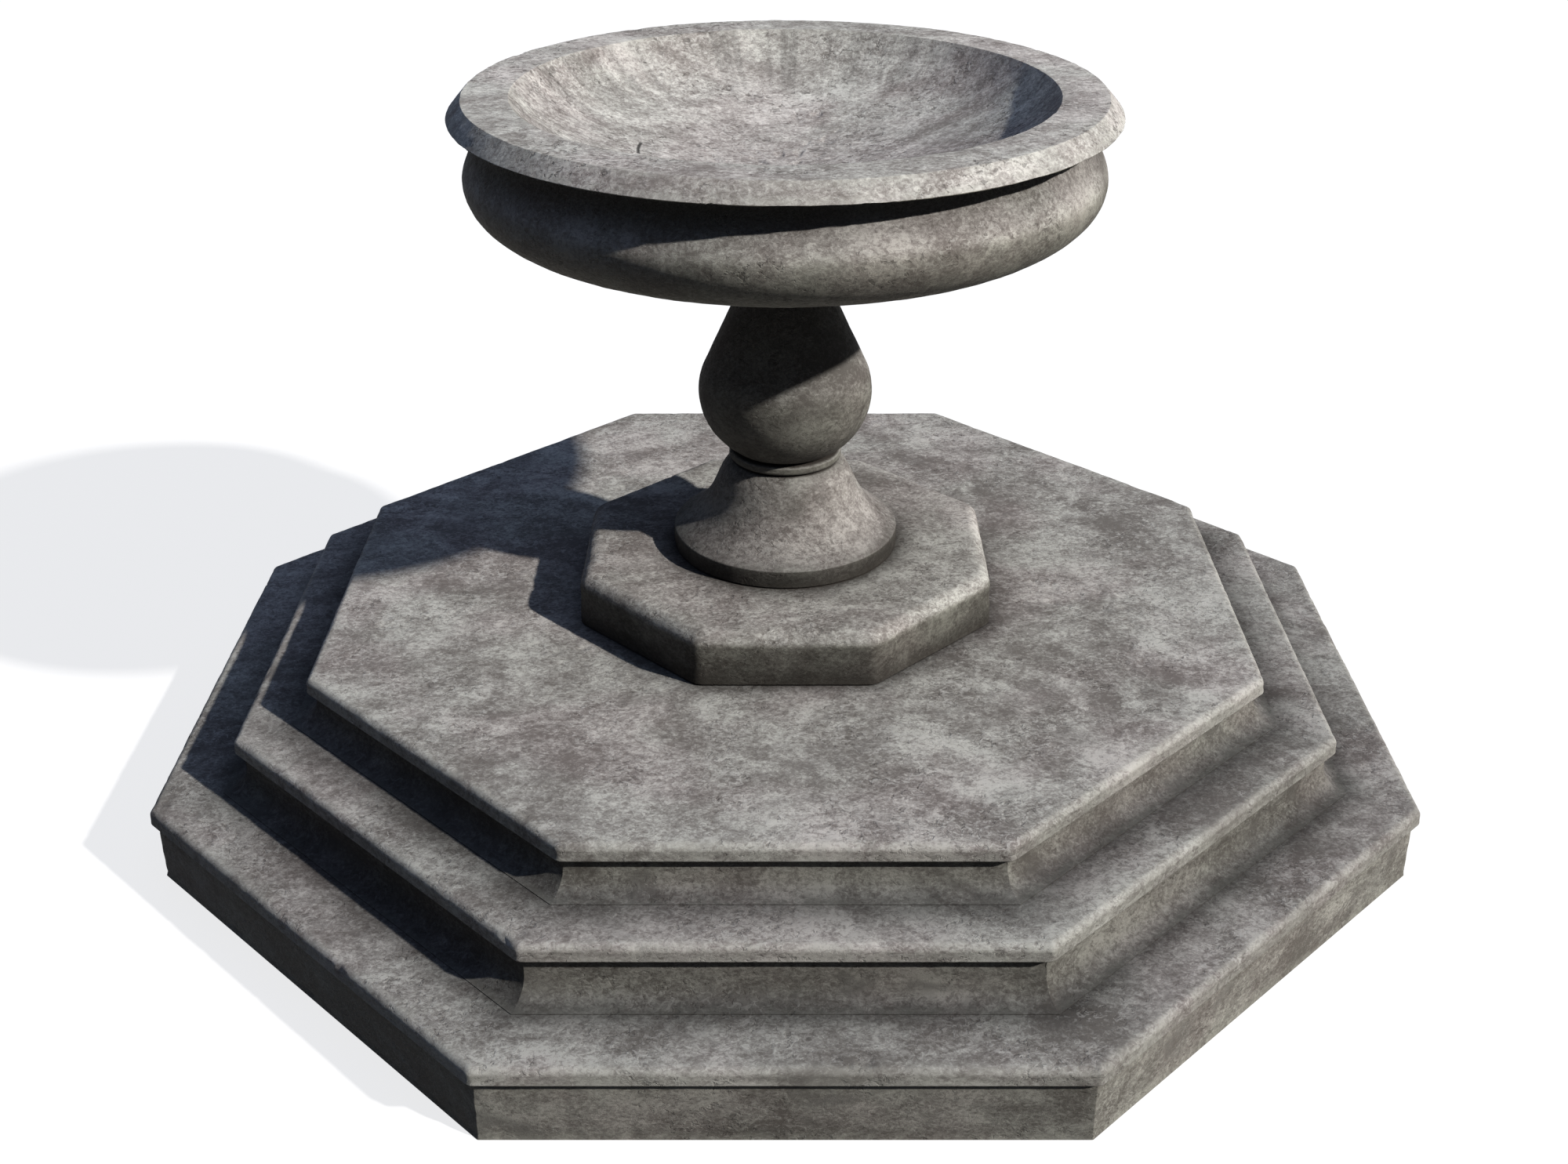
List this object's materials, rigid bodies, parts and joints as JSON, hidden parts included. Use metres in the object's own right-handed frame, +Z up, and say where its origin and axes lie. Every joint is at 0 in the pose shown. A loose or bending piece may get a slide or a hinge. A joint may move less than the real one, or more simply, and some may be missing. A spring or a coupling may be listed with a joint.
{
  "type": "bird bath",
  "caption": "Free-standing stone bird bath: a shallow round basin on a turned baluster stem, set on an octagonal plinth and stepped octagonal base.",
  "frame": {"origin": "middle of the underside of the octagonal base, on the ground", "axes": "+Z up along the basin and stem axis; one flat of each octagonal step faces -Y and one faces +X"},
  "size_m": [1.4, 1.4, 0.81],
  "materials": {
    "basin_stone": "weathered cast stone, mottled grey with pale flecks and small pits",
    "stem_stone": "weathered cast stone, warm grey, pitted",
    "plinth_stone": "weathered cast stone with rounded worn edges",
    "tread_stone": "weathered cast stone, mottled, paler along the worn nosings",
    "kerb_stone": "weathered cast stone with brown-grey staining",
    "core_fill": "rough cast concrete",
    "mortar": "raked, dirt-darkened mortar",
    "dowel_steel": "stainless steel, as drawn"
  },
  "bodies": {
    "root": {"lower_core": "core_fill", "lower_kerb": "kerb_stone", "lower_bed": "mortar", "lower_tread": "tread_stone", "middle_core": "core_fill", "middle_kerb": "kerb_stone", "middle_bed": "mortar", "middle_tread": "tread_stone", "upper_core": "core_fill", "upper_kerb": "kerb_stone", "upper_bed": "mortar", "upper_tread": "tread_stone", "plinth_bed": "mortar", "plinth": "plinth_stone", "plinth_pins": "dowel_steel", "foot_bed": "mortar", "foot": "stem_stone", "foot_dowel": "dowel_steel", "collar_bed": "mortar", "collar": "stem_stone", "baluster_bed": "mortar", "baluster": "stem_stone", "stem_dowel": "dowel_steel", "basin_bed": "mortar", "basin": "basin_stone", "basin_dowel": "dowel_steel"}
  },
  "joints": []
}
